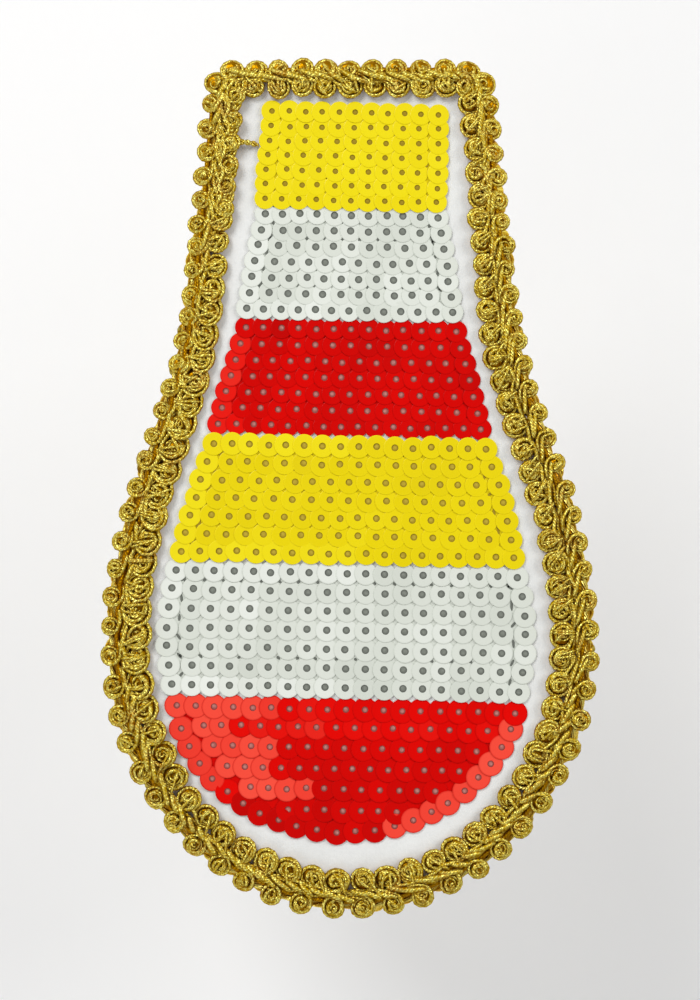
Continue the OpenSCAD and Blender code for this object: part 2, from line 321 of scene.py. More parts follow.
def lay_discs(rows, sequins, hole, radius, lift, tones):
    """One band's discs as one mesh, with the tone of each and the nearness to the rim. A sheet of the same
    film, a little deeper in tone as painted shade, lies under them, where it shows between the discs of one
    row and those of the next."""
    cos, sin = circle(DISC_SIDES)
    share, high, rim = DISC_RINGS.T
    out = mix(hole, radius, share)
    one = np.column_stack([
        np.outer(out, cos).ravel(), np.outer(out, sin).ravel(), np.repeat(high, DISC_SIDES)])
    strips = ring_strips(len(out), DISC_SIDES, closed=True)
    points, faces = [], []
    for n, (x, y, edge) in enumerate(sequins):
        tilt = LEAN + rng.normal(0, LEAN_SCATTER, 2)
        disc = one + [x, y, lift + EDGE_LIFT * edge]
        disc[:, 2] += one[:, :2] @ tilt
        points.append(disc)
        faces += list(strips + n * len(one))
    start = len(sequins) * len(one)
    tones, rims = np.repeat(tones, len(one)), np.tile(np.repeat(rim, DISC_SIDES), len(sequins))
    if len(rows[-1]) == OVAL_RIM:
        edge_discs = [rows[0][0], *rows[-1], rows[0][-1]]
    else:
        edge_discs = [row[0] for row in rows] + [row[-1] for row in rows[::-1]]
    n = len(edge_discs)
    for z in (lift - SHEET_FOOT, lift - SHEET_TOP):
        points.append(np.column_stack([np.array(edge_discs)[:, :2], np.full(n, z)]))
    faces += list(ring_strips(2, n, start)[:, BACKWARD])
    for r in range(n // 2 - 1):
        quad = np.array([r, r + 1, n - 2 - r, n - 1 - r])
        faces.append(start + quad[::-1])
        faces.append(start + n + quad)
    # The sheet's deeper tone is painted shade
    tones, rims = np.append(tones, np.full(2 * n, SHEET_SHADE_TONE)), np.append(rims, np.zeros(2 * n))
    return np.vstack(points), faces, {"tone": tones, "rim": rims}


# The bands that show thread between the outer line and the rows, and how often it shows between two rows
ENDS_STITCHED = (1, 3, 4)
STITCH_SHARE = 0.75
STITCH_HALF_W, STITCH_H, STITCH_TOP_SHARE = 0.32, 0.14, 0.85


def stitch_places(band, rows):
    """Where thread, painted dark as it lies in shade, shows between the discs: x, y, half length and
    direction.
    """
    found = []
    if band == OVAL_BAND:
        return found
    *_, stitched = BANDS[band]
    for r in range(BAND_ROWS - 1):
        upper, lower = np.array(rows[r])[:, :2], np.array(rows[r + 1])[:, :2]
        for row_end, inside in ((0, 1), (-1, -2)):
            if band in ENDS_STITCHED:
                x, y = (upper[row_end] + lower[row_end] + upper[inside] + lower[inside]) / 4
                found.append((x, y, rng.uniform(0.8, 1.3), rng.normal(0, 0.5)))
        if r + 1 not in stitched:
            continue
        up = np.mean(upper[:, 0]) - np.mean(lower[:, 0])
        for x, y in (lower[1:] + lower[:-1]) / 2:
            if rng.random() < STITCH_SHARE:
                shift, half = rng.normal(0, 0.15), rng.uniform(0.35, 0.6)
                found.append((x + up / 2, y + shift, half, rng.choice([-0.8, 0.8])))
    return found


def knot_faces(rings, start):
    """The sides of a knot or a stitch, its top and its foot."""
    k = start + np.arange(EYE_SIDES)
    return [*ring_strips(rings, EYE_SIDES, start)[:, ::-1], k + (rings - 1) * EYE_SIDES, k[::-1]]


def sewing(stitches, sequins, hole, foot_z):
    """The thread: a knot of it in each hole, and short lengths between the discs, painted in the thread's
    shade colour as they lie in shade.
    """
    cos, sin = circle(EYE_SIDES)
    points, faces, tops = [], [], []
    start = 0
    for x, y, _ in sequins:
        push = rng.normal(0, 0.1, 2)
        for r, (out, high) in enumerate(EYE_RINGS * [hole, 1]):
            share = r / (len(EYE_RINGS) - 1)
            points.append(np.column_stack([
                x + out * cos + push[0] * share, y + out * sin + push[1] * share,
                np.full(EYE_SIDES, foot_z + high)]))
            tops.append(np.full(EYE_SIDES, share))
        faces += knot_faces(len(EYE_RINGS), start)
        start += EYE_SIDES * len(EYE_RINGS)
    for x, y, half, way in stitches:
        along, across = np.array([math.cos(way), math.sin(way)]), np.array([-math.sin(way), math.cos(way)])
        for z, size in ((foot_z, 1.0), (foot_z + STITCH_H, STITCH_TOP_SHARE)):
            flat = [x, y] + size * (np.outer(half * cos, along) + np.outer(STITCH_HALF_W * sin, across))
            points.append(np.column_stack([flat, np.full(EYE_SIDES, z)]))
            tops.append(np.zeros(EYE_SIDES))
        faces += knot_faces(2, start)
        start += 2 * EYE_SIDES
    return np.vstack(points), faces, np.concatenate(tops)


def new_group(name, inputs):
    """A group of nodes with named inputs, which gives a colour, a roughness and a height."""
    group = bpy.data.node_groups.new(name, "ShaderNodeTree")
    for label, start in inputs.items():
        kind = "NodeSocketFloat" if isinstance(start, float) else "NodeSocketColor"
        socket = group.interface.new_socket(label, in_out="INPUT", socket_type=kind)
        socket.default_value = start
    for label, kind in (("Colour", "Color"), ("Roughness", "Float"), ("Height", "Float")):
        group.interface.new_socket(label, in_out="OUTPUT", socket_type="NodeSocket" + kind)
    given = group.nodes.new("NodeGroupInput")
    told = group.nodes.new("NodeGroupOutput")
    return group, given.outputs, told.inputs


def point_value(tree, name):
    """A number that the mesh carries on its points."""
    return place(tree, "ShaderNodeAttribute", attribute_name=name).outputs["Fac"]


def ramp(tree, value, start, end, low=0.0, high=1.0, kind="LINEAR"):
    """Goes from low to high as the value goes from start to end."""
    inputs = {0: value, 1: start, 2: end, 3: low, 4: high}
    return place(tree, "ShaderNodeMapRange", inputs, interpolation_type=kind).outputs[0]


def film_group():
    """What all the sequins share: the tone from disc to disc, which on the red film also carries painted
    reflection and painted shade, a rim colour of painted light and shade along each disc's edge, and fine
    scratches.
    """
    blank = dict.fromkeys(("Deep", "Plain", "Bright", "Rim"), paint(255, 255, 255))
    group, given, told = new_group("sequin_film", blank)
    tone = point_value(group, "tone")
    cloud = noise(group, scale=90.0, detail=2.0)
    scratch = noise(group, scale=2600.0, detail=4.0)
    deep = mix_colour(group, ramp(group, tone, 0.0, 0.5), given["Deep"], given["Plain"])
    full = mix_colour(group, ramp(group, tone, 0.5, 1.0), deep, given["Bright"])
    # Painted light and shade along each disc's edge: lighter on yellow, deeper on white and red
    painted_edge_share = reckon(group, "MULTIPLY", point_value(group, "rim"), 0.7)
    group.links.new(mix_colour(group, painted_edge_share, full, given["Rim"]), told["Colour"])
    group.links.new(ramp(group, cloud, 0.3, 0.7, 0.24, 0.36), told["Roughness"])
    group.links.new(reckon(group, "MULTIPLY_ADD", scratch, 0.3, cloud), told["Height"])
    return group


FILM = film_group()


def film_material(name, deep, plain, bright, rim, aslant, ior):
    """The film's colours as it is seen from above, and the one it goes to as it is seen aslant, which is a
    painted reflection: the red goes to a dark burgundy, as it mirrors dark surroundings.
    """
    material, tree, shader = new_material(name)
    colours = {"Deep": paint(*deep), "Plain": paint(*plain), "Bright": paint(*bright), "Rim": paint(*rim)}
    film = place(tree, "ShaderNodeGroup", colours, node_tree=FILM).outputs
    # Painted reflection: toward grazing views the colour goes over to the aslant one
    facing = place(tree, "ShaderNodeLayerWeight", {"Blend": 0.35}).outputs["Facing"]
    slant = ramp(tree, facing, 0.25, 0.75, 0.0, 0.85)
    tree.links.new(mix_colour(tree, slant, film["Colour"], paint(*aslant)), shader.inputs["Base Color"])
    tree.links.new(film["Roughness"], shader.inputs["Roughness"])
    relief(tree, shader, film["Height"], strength=0.25, distance=0.0002)
    shader.inputs["IOR"].default_value = ior
    return material


def thread_and_shade_material(name, dark, light):
    """Rough spun thread, painted dark as it lies in shade in the holes and between the discs, with painted
    light on top of each knot.
    """
    material, tree, shader = new_material(name)
    fuzz = noise(tree, scale=2200.0, detail=3.0)
    share = reckon(tree, "MULTIPLY", point_value(tree, "top"), fuzz)
    tree.links.new(mix_colour(tree, share, paint(*dark), paint(*light)), shader.inputs["Base Color"])
    relief(tree, shader, fuzz, strength=0.5, distance=0.0001)
    shader.inputs["Roughness"].default_value = 0.8
    return material


# The rim colours are painted light and shade along the discs' edges
FILMS = {
    "yellow": film_material("sequins_yellow", deep=(216, 192, 0), plain=(236, 214, 0), bright=(248, 232, 26),
                            rim=(244, 224, 6), aslant=(252, 224, 20), ior=1.28),
    "white": film_material("sequins_white", deep=(206, 211, 200), plain=(222, 226, 216),
                           bright=(240, 243, 236), rim=(213, 218, 207), aslant=(220, 230, 218), ior=1.3),
    "red": film_material("sequins_red", deep=(146, 0, 0), plain=(232, 4, 0), bright=(252, 82, 64),
                         rim=(200, 3, 1), aslant=(136, 0, 4), ior=1.16),
}
# The thread's colours: the darker one is painted shade, the lighter one painted light on the knots' tops
THREADS_IN_SHADE = {
    "yellow": thread_and_shade_material("thread_and_hole_shade_yellow", (162, 136, 0), (212, 188, 60)),
    "white": thread_and_shade_material("thread_and_hole_shade_white", (104, 108, 100), (150, 154, 144)),
    "red": thread_and_shade_material("thread_and_hole_shade_red", (150, 62, 56), (216, 160, 150)),
}
COLOURS = ["yellow", "white", "red", "yellow", "white", "red"]
# How high the discs lie over the felt: yellow over its neighbours, and white over red. The thread begins
# lower down.
LIFTS = {"yellow": 0.62, "white": 0.48, "red": 0.34}
THREAD_DROP = 0.24
# The tones of the discs, from 0 for deep over 0.5 for plain to 1 for bright: the usual one, how much it
# differs from disc to disc, and how far it drifts over a band
TONES = {"yellow": (0.5, 0.04, 0.05), "white": (0.5, 0.07, 0.22), "red": (0.36, 0.025, 0.05)}
# How much lighter the first band is; how much lighter the outer line is painted on the +Y side, a painted
# highlight, and on the red bands, between these two x, a painted reflection
FIRST_BAND_TONE, EDGE_HIGHLIGHT_TONE, RED_EDGE_REFLECTION_TONE = 0.2, 0.25, 0.22
RED_EDGE_X = (15, 36)
# On one side of the last band the red film is painted lighter, a painted reflection of the lamps: the y from
# which it is in each row, the outer line last, then the tone there and how wide the change to it is
RED_REFLECTION_FROM = np.array([18.0, 28.5, 17.0, 17.5, 9.0, 60.0, 0.0])
RED_REFLECTION_TONE, RED_REFLECTION_CHANGE = 0.93, 5.0


def smooth_step(t):
    """Goes gently from 0 to 1 as t does."""
    t = np.clip(t, 0, 1)
    return t * t * (3 - 2 * t)


def band_tones(band, sequins, rows):
    """How light each disc is. The outer line is paler on the +Y side, a painted highlight, and the red film
    has painted reflections and painted shade in places.
    """
    x, y, edge = sequins.T
    usual, scatter, drift = TONES[COLOURS[band]]
    cloud = np.sin(0.19 * x + 0.11 * y + band) * np.cos(0.15 * y - 0.08 * x)
    tones = usual + rng.normal(0, scatter, len(sequins)) + drift * cloud
    if band == 0:
        return np.clip(tones + FIRST_BAND_TONE, 0.2, 1)
    if COLOURS[band] != "red":
        return np.clip(tones + EDGE_HIGHLIGHT_TONE * edge * (y > 0), 0.2, 1)
    if band != OVAL_BAND:
        # Painted reflection on the red outer line
        edge_reflects = (y > 0) * (x > RED_EDGE_X[0]) * (x < RED_EDGE_X[1])
        return np.clip(tones + edge * edge_reflects * RED_EDGE_REFLECTION_TONE, 0, 1)
    row = np.repeat(np.arange(len(rows)), [len(discs) for discs in rows])
    # Painted reflection: the first two rows are lighter, and each row goes to the coral tone from its given y
    # on
    tones += 0.14 * (row < 2)
    red_reflection = smooth_step((y - RED_REFLECTION_FROM[row]) / RED_REFLECTION_CHANGE + 0.5) * (edge < 1)
    tones = mix(tones, RED_REFLECTION_TONE + rng.normal(0, 0.04, len(sequins)), red_reflection)
    # The outer line: painted reflection where it is lighter, and painted shade where it is a little deeper
    tones += edge * np.select([y > 31, y > 27, y > -6, x < -54], [0.4, 0.16, -0.06, 0.55])
    return np.clip(tones, 0, 1)


for band, colour in enumerate(COLOURS):
    node = f"sequin_band_{band + 1}_{colour}"
    rows = band_rows(band)
    sequins = np.array([disc for row in rows for disc in row])
    sequins[:, :2] += rng.normal(0, 0.1, (len(sequins), 2))
    radius = OVAL_DISC_R if band == OVAL_BAND else BANDS[band][3]
    lift = BOARD_T + LIFTS[colour]
    hole = HOLE_R[colour] * (FIRST_HOLE_SHARE if band == 0 else 1)
    points, faces, values = lay_discs(rows, sequins, hole, radius, lift, band_tones(band, sequins, rows))
    discs = new_piece(f"sequins_{band + 1}_{colour}", points, faces, values, smooth=False)
    dress(discs, FILMS[colour], f"sequins_{colour}", node)
    points, faces, tops = sewing(stitch_places(band, rows), sequins, hole, lift - THREAD_DROP)
    # In the first band the knots are painted in shade on top too
    tops = tops * (band > 0)
    threads = new_piece(f"sewing_{band + 1}_{colour}", points, faces, {"top": tops}, smooth=False)
    dress(threads, THREADS_IN_SHADE[colour], f"sequins_{colour}")


# The looped braid.
# Thin gold metallic cord, wound into two rows of small coils with a seam of slanting cords between them, and
# sewn flat round the board's edge. Its two ends overlap on the +Y side of the neck, with a short tail.
BRAID_Z = 2.6
BRAID_W_NECK, BRAID_W_ROUND = 9.4, 12.2
# The two rows: how far past the centre line they are, and their pitch at the neck and at the round end
OUTER_PAST, OUTER_PITCHES = 2.3, (5.5, 7.0)
INNER_PAST, INNER_PITCHES = -2.3, (5.25, 5.95)
# Between these two places the pitch goes from one to the other
PITCH_FROM_X, PITCH_TO_X = -50, 55
# The outer row, which is way 1, is the finer one, and the inner row is way -1
LOOP_CORD_R = {1: 0.46, -1: 0.5}
COIL_CORD_R, SEAM_CORD_R = 0.45, 0.5
# A coil: how often its cord goes round, where its turns end inside, and how many more lie in it
COIL_TURNS, COIL_INSIDE = (1.7, 2.2), 0.45
INNER_TURNS = 6
# A loop's stem: how far it leans into the coil, and how far back along the seam it begins
STEM_REACH, STEM_LEAD = (2.6, 3.4), (4.6, 5.8)
# A loop's core: its foot, its height and its radii on the way up
CORE_FOOT, CORE_H = 0.16, 1.3
CORE_SHARES = np.array([0.74, 0.84, 0.74, 0.52, 0.2])
# The seam's place out of the centre line, and how much farther out it is where the loops are fuller
SEAM_OFF, SEAM_SHIFT = 0.3, 0.9
# Distance from the neck end's middle to where the fringe starts, on both sides
HEADING_FROM = 96.0
# How far the outer coils bend down, where that begins and over what distance: at the board's bare edge, and
# over the fringe's heading
DROP = 1.7
DROP_AT_EDGE, DROP_AT_HEADING = (1.0, 3.0), (4.2, 1.9)
UP, EAST = np.array([0.0, 0.0, 1.0]), np.array([1.0, 0.0, 0.0])


def walk_table(past):
    """The distances along half an outline, and its points."""
    half = half_line(past)
    steps = np.hypot(*np.diff(half, axis=0).T)
    return np.concatenate([[0], np.cumsum(steps)]), half


def walk(table, s):
    """The point at distance s along an outline, from the neck end's middle round the +Y side."""
    lengths, half = table
    s = np.asarray(s, float)
    whole = 2 * lengths[-1]
    s = (s + whole / 2) % whole - whole / 2
    x, y = [np.interp(np.abs(s), lengths, column) for column in half.T]
    return np.stack([x, np.where(s < 0, -y, y)], axis=-1)


def outward(table, s):
    """The direction straight out of an outline."""
    ahead = walk(table, np.asarray(s) + 0.3) - walk(table, np.asarray(s) - 0.3)
    ahead /= np.linalg.norm(ahead, axis=-1, keepdims=True)
    return np.stack([ahead[..., 1], -ahead[..., 0]], axis=-1)


def along_path(table, s, off, z):
    """Points beside an outline: distance along it, distance out of it, height."""
    p = walk(table, s) + outward(table, s) * np.asarray(off)[..., None]
    return np.concatenate([p, np.asarray(z, float)[..., None]], axis=-1)


class Bundle:
    """Cords gathered into one mesh. Each corner knows the distance along its cord and the share round it,
    and each point how open it lies, from 0 in a crease to 1 on top, which sets the gold's painted shade and
    highlight."""

    def __init__(self):
        self.points, self.faces, self.caps = [], [], []
        self.lay, self.open, self.count = [], [], 0

    def cord(self, path, side, radius, sides, open_share, open_low):
        """Adds a round cord. Its open side is the one that side points to."""
        path = np.asarray(path, float)
        n = len(path)
        ahead = np.gradient(path, axis=0)
        ahead /= np.linalg.norm(ahead, axis=1, keepdims=True) + 1e-9
        u = side - ahead * np.sum(side * ahead, axis=1, keepdims=True)
        u /= np.linalg.norm(u, axis=1, keepdims=True) + 1e-9
        v = np.cross(ahead, u)
        cos, sin = circle(sides)
        radius, high, low = [np.full(n, value)[:, None] for value in (radius, open_share, open_low)]
        ring = u[:, None] * cos[:, None] + v[:, None] * sin[:, None]
        self.points.append((path[:, None] + ring * radius[:, None]).reshape(-1, 3))
        lengths = np.concatenate([[0], np.cumsum(np.linalg.norm(np.diff(path, axis=0), axis=1))])
        r = np.repeat(np.arange(n - 1), sides)
        k = np.tile(np.arange(sides), n - 1)
        seed = rng.random()
        seeds = np.full(len(r), seed)
        lay = np.stack([
            np.column_stack([lengths[i], j / sides, seeds])
            for i, j in ((r, k), (r + 1, k), (r + 1, k + 1), (r, k + 1))
        ], axis=1)
        self.faces.append(ring_strips(n, sides, self.count)[:, ::-1])
        self.lay.append(lay[:, ::-1].reshape(-1, 3))
        self.open.append((low + (high - low) * (0.5 + 0.5 * cos)).ravel())
        self.caps.append((self.count + np.arange(sides)[::-1], seed))
        self.caps.append((self.count + (n - 1) * sides + np.arange(sides), seed))
        self.count += n * sides

    def piece(self, name):
        """All the cords as one mesh, with their ends closed."""
        faces, lay = list(np.vstack(self.faces)), list(self.lay)
        for corners, seed in self.caps:
            faces.append(corners)
            lay.append(np.tile([0.0, 0.0, seed], (len(corners), 1)))
        return new_piece(name, np.vstack(self.points), faces, {"open": np.concatenate(self.open)},
                         {"lay": np.vstack(lay)})


# The crease colour is painted shade, and the bright one a painted highlight
BRAID_LOOK = {
    "Strands": 3.0, "Slant": 1.3, "Glint scale": 1300.0, "Crest": 0.4,
    "Crease from": 0.16, "Crease to": 0.92, "Dullest": 0.5, "Shiniest": 0.28,
    "Crease": paint(166, 116, 0), "Body": paint(186, 150, 0), "Bright": paint(255, 247, 134),
    "Dull": paint(160, 98, 0)}


def thread_group():
    """Gold thread laid into a cord: slanting strands, dull reddish patches, painted glints and a painted
    highlight along the top, and painted brown shade in the creases.
    """
    group, given, told = new_group("gold_thread", BRAID_LOOK)
    lay = place(group, "ShaderNodeAttribute", attribute_name="lay").outputs["Vector"]
    lay = place(group, "ShaderNodeSeparateXYZ", {0: lay}).outputs
    opened = point_value(group, "open")
    turn = reckon(group, "MULTIPLY", lay["Y"], given["Strands"])
    turn = reckon(group, "MULTIPLY_ADD", lay["X"], given["Slant"], turn)
    wave = reckon(group, "SINE", reckon(group, "MULTIPLY", turn, 2 * math.pi))
    strand = reckon(group, "MULTIPLY_ADD", wave, 0.5, 0.5)
    ridge = reckon(group, "MULTIPLY_ADD", strand, 0.5, 0.5)
    glint = ramp(group, noise(group, given["Glint scale"], detail=3.0), 0.4, 0.62)
    # Painted shade: where the cord lies in a crease it takes the crease colour
    lit = ramp(group, opened, given["Crease from"], given["Crease to"], kind="SMOOTHSTEP")
    # Painted highlights: glints, and a line along the top of the cord
    painted_glint = reckon(group, "MULTIPLY", reckon(group, "MULTIPLY", glint, ridge), lit)
    crest_highlight = ramp(group, opened, 0.86, 1.0, 0.0, given["Crest"], kind="SMOOTHSTEP")
    painted_glint = reckon(group, "MAXIMUM", painted_glint, reckon(group, "MULTIPLY", crest_highlight, ridge))
    patch = ramp(group, noise(group, scale=210.0, detail=3.0), 0.52, 0.68, 0.0, 0.75)
    body = mix_colour(group, patch, given["Body"], given["Dull"])
    full = mix_colour(group, painted_glint, body, given["Bright"])
    group.links.new(mix_colour(group, lit, given["Crease"], full), told["Colour"])
    group.links.new(ramp(group, glint, 0.0, 1.0, given["Dullest"], given["Shiniest"]), told["Roughness"])
    group.links.new(reckon(group, "MULTIPLY_ADD", glint, 0.35, strand), told["Height"])
    return group


THREAD = thread_group()


def gold_material(name, look, metallic, strand_relief):
    """Metallic thread or yarn. Plain plastic shines through it a little, so that it isn't wholly metallic."""
    material, tree, shader = new_material(name)
    thread = place(tree, "ShaderNodeGroup", look, node_tree=THREAD).outputs
    tree.links.new(thread["Colour"], shader.inputs["Base Color"])
    tree.links.new(thread["Roughness"], shader.inputs["Roughness"])
    relief(tree, shader, thread["Height"], strength=0.7, distance=strand_relief)
    shader.inputs["Metallic"].default_value = metallic
    shader.inputs["Specular Tint"].default_value = paint(255, 222, 110)
    return material


braid_gold = gold_material("gold_braid", BRAID_LOOK, metallic=0.85, strand_relief=0.00012)
CENTRE = walk_table(0.0)
CENTRE_L = 2 * CENTRE[0][-1]


def braid_width(x):
    """The braid is wider at the round end."""
    return min(BRAID_W_ROUND, mix(BRAID_W_ROUND, BRAID_W_NECK, (x - ROUND_X) / (NECK_X - ROUND_X)))


def add_strand(braid, points, radius, lit=1.0, sides=5):
    """A short length of cord, thinner at its two ends."""
    taper = np.interp(np.linspace(0, 1, len(points)), [0, 0.12, 0.88, 1], [0.6, 1, 1, 0.6])
    braid.cord(points, UP, radius * taper, sides, lit, 0.0)


def edge_drop(s, out):
    """How far the braid bends down at a distance out of its centre line."""
    start, run = DROP_AT_HEADING if abs(s) > HEADING_FROM else DROP_AT_EDGE
    return DROP * smooth_step((out - start) / run)


def add_loop(braid, s, way, off, ring_r, base, seam_off=SEAM_OFF, stretch=1.0, tilt=0.0):
    """One wound loop. Its cord comes slanting out of the seam and goes round the coil, and more turns lie in
    it. It can be longer along the seam, and lie with its far end over the next loop."""
    cord_r = LOOP_CORD_R[way] * rng.uniform(0.92, 1.08)
    outer = ring_r - cord_r
    centre = along_path(CENTRE, s, off, base)
    n = np.append(outward(CENTRE, s), 0.0) * way
    t = np.array([-way * n[1], way * n[0], 0.0])
    enter = math.radians(rng.uniform(15, 60) if way > 0 else rng.uniform(-50, 10))
    turns = rng.uniform(*COIL_TURNS)
    share = np.linspace(0, 1, 25)
    turn = enter + 2 * math.pi * turns * share
    inward = np.clip((share * turns - 1.0) / (turns - 1.0), 0, 1)
    r = mix(outer, outer * COIL_INSIDE, inward**0.7)
    out, along = r * np.cos(turn), r * np.sin(turn)
    long = rng.uniform(0.96, 1.1)
    wobble = 1 + 0.06 * np.sin(turn * rng.uniform(1.3, 2.3) + rng.uniform(0, 6))
    z = 1.15 + 0.75 * (1 - (r / outer) ** 2) + 0.5 * np.exp(-2 * math.pi * turns * share * 1.2)
    lean = rng.normal(0, 0.14, 2)
    spiral = (centre - n * (out * wobble * long)[:, None]
              + t * (along * wobble * stretch)[:, None] + UP * z[:, None])
    spiral[:, 2] += (out * lean[0] + along * lean[1]) * share + along * tilt
    # The stem, from the seam to where the coil begins
    u = np.linspace(0, 1, 7)[:-1]
    begin = spiral[0]
    ahead = (n * math.sin(enter) + t * math.cos(enter)) * rng.uniform(*STEM_REACH)
    foot_s = s - rng.uniform(*STEM_LEAD) + outer * math.sin(enter)
    foot = along_path(CENTRE, foot_s, seam_off + way * rng.uniform(0.2, 1.0), base)
    w = u[:, None]
    stem = (1 - w) ** 2 * foot + 2 * w * (1 - w) * (begin - ahead) + w * w * begin
    stem[:, 2] = mix(base + 0.6, begin[2], u) + rng.uniform(1.6, 2.8) * u * (1 - u)
    path = np.vstack([stem, spiral])
    path[:, 2] -= edge_drop(s, off + way * (path - centre) @ n)
    # The stem's thickness goes over into the coil's in three steps. Five sides make a cord look thinner than
    # it is, which the last number makes up for.
    radius = np.concatenate([np.full(len(stem), SEAM_CORD_R), np.full(len(spiral), cord_r)])
    radius = np.convolve(np.pad(radius, 1, mode="edge"), np.ones(3) / 3, mode="valid")
    braid.cord(path, UP, radius * 1.03, 5, 1.0, 0.0)
    # The turn below, which makes the loop thick
    a = rng.uniform(0, 6.3) + np.linspace(0, 5.9, 13)
    under = centre + 0.96 * outer * (n * np.cos(a)[:, None] + t * (stretch * np.sin(a))[:, None])
    under[:, 2] += 0.45 + outer * np.sin(a) * tilt
    under[:, 2] -= edge_drop(s, off + way * outer * np.cos(a))
    add_strand(braid, under, cord_r, 0.85)
    # The turns inside, each a part of a ring
    for k in range(INNER_TURNS):
        part = k / (INNER_TURNS - 1)
        a = rng.uniform(0, 6.3) + np.linspace(0, rng.uniform(2.4, 5.2), 9 - k // 2)
        size = outer * mix(0.78, 0.22, part) * rng.uniform(0.88, 1.12)
        middle = centre + (n * rng.normal(0, 0.11) + t * rng.normal(0, 0.11)) * outer
        flat, tall = rng.uniform(0.7, 1.05, 2)
        inward = n * (size * flat * np.cos(a))[:, None]
        curl = middle + inward + t * (size * tall * stretch * np.sin(a))[:, None]
        curl[:, 2] += mix(1.45, 1.9, part) + 0.25 * np.sin(a + rng.uniform(0, 6)) + size * np.sin(a) * tilt
        curl[:, 2] -= edge_drop(s, off + way * size * np.cos(a))
        add_strand(braid, curl, cord_r * rng.uniform(0.6, 0.85), sides=4)
    return centre, n, t, outer


def add_core(braid, centre, ring_r):
    """The inside of a loop, which closes it from above and below. Its cord is painted nearly all in the
    crease's shade.
    """
    heights = CORE_FOOT + CORE_H * np.linspace(0, 1, len(CORE_SHARES))
    braid.cord(centre + UP * heights[:, None], EAST, ring_r * CORE_SHARES, 7, 0.15, 0.15)


def add_crossing(braid, centre, n, t, outer):
    """A turn of cord that goes over a coil."""
    a = rng.uniform(-1.1, 1.1)
    along, across = n * math.cos(a) + t * math.sin(a), -n * math.sin(a) + t * math.cos(a)
    u = np.linspace(rng.uniform(-1, -0.7), rng.uniform(0.3, 1), 8)
    bend = rng.uniform(-0.5, 0.5) * outer
    path = (centre + along * (u * outer * 0.98)[:, None] + across * (bend * (1 - 0.8 * u * u))[:, None]
            + UP * (1.05 + 1.25 * np.sqrt(1 - 0.96 * u * u))[:, None])
    add_strand(braid, path, COIL_CORD_R * rng.uniform(0.7, 0.95))


def loop_places(past, pitches):
    """Where the loops of a row are: evenly along the row, and given as distances along the centre line."""
    row = walk_table(past)
    whole = 2 * row[0][-1]
    neck_pitch, round_pitch = pitches
    found, s = [], 0.0
    while s < whole:
        found.append(s)
        x = float(walk(row, s)[0])
        toward_neck = min(1, max(0, (x - PITCH_FROM_X) / (PITCH_TO_X - PITCH_FROM_X)))
        s += mix(round_pitch, neck_pitch, toward_neck)
    s = np.array(found) * whole / s
    s = (s + whole / 2) % whole - whole / 2
    return np.sort(np.sign(s) * np.interp(np.abs(s), row[0], CENTRE[0]))


def fullness(s):
    """The +Y side is worked looser, with inner loops so wide that they cover the seam."""
    x, y = walk(CENTRE, s)
    return float(smooth_step((55 - x) / 14) * smooth_step((x + 62) / 16) * (y > 0))


def seam_place(s):
    """How far out of the centre line the seam runs."""
    return SEAM_OFF + SEAM_SHIFT * fullness(s)


def toward_ends(x, neck_x, neck_run, round_x):
    """Goes to 1 toward the neck end and toward the round end, from these two places on."""
    return float(max(smooth_step((x - neck_x) / neck_run), smooth_step((round_x - x) / 10)))


outer_loops, inner_loops, seam = Bundle(), Bundle(), Bundle()
u = np.linspace(0, 1, 7)
for s in loop_places(OUTER_PAST, OUTER_PITCHES):
    x = float(walk(CENTRE, s)[0])
    ring_r = mix(2.42, 2.82, toward_ends(x, 88, 6, -38)) * rng.uniform(0.92, 1.06)
    off = braid_width(x) / 2 - ring_r + rng.normal(0, 0.14)
    loop_s = s + rng.normal(0, 0.2)
    centre, n, t, outer = add_loop(outer_loops, loop_s, 1, off, ring_r, BRAID_Z, seam_place(s))
    centre = centre - UP * edge_drop(s, off)
    add_core(outer_loops, centre, ring_r)
    if rng.random() < 0.4:
        add_crossing(outer_loops, centre, n, t, outer)
    # On the -Y side the stems fan out of the seam
    if s < 0 and -42 < x < 58:
        off = mix(off - 0.9, 0.3, u) + rng.normal(0, 0.12)
        path = along_path(CENTRE, s - 5.8 * u + 0.5, off, BRAID_Z + 2.3 + 0.2 * np.sin(math.pi * u))
        add_strand(outer_loops, path, SEAM_CORD_R)
for s in loop_places(INNER_PAST, INNER_PITCHES):
    x = float(walk(CENTRE, s)[0])
    width = braid_width(x)
    wide = (width - BRAID_W_NECK) / (BRAID_W_ROUND - BRAID_W_NECK)
    full = fullness(s)
    ring_r = (mix(2.75, 3.05, wide) + 0.45 * full) * rng.uniform(0.94, 1.06)
    off = ring_r - width / 2 + rng.normal(0, 0.14)
    loop_s = s + rng.normal(0, 0.15)
    centre, n, t, outer = add_loop(inner_loops, loop_s, -1, off, ring_r, BRAID_Z + 0.1, seam_place(s),
                                   1.06 + 0.12 * full, 0.1 + 0.1 * full)
    add_core(inner_loops, centre, ring_r)
    for _ in range(rng.integers(0, 3)):
        add_crossing(inner_loops, centre, n, t, outer)
    for _ in range(2 if -45 < x < 60 else 1):
        start, end = s + rng.uniform(-1, 3.5), s + rng.uniform(-2, 1.5)
        fan_off = mix(seam_place(s) - 0.3, 1.1 - width / 2, u)
        z = BRAID_Z + 2.4 - 0.7 * u**2 + 0.25 * np.sin(math.pi * u)
        path = along_path(CENTRE, mix(start, end, u), fan_off, z)
        add_strand(inner_loops, path, COIL_CORD_R * rng.uniform(0.7, 0.9))

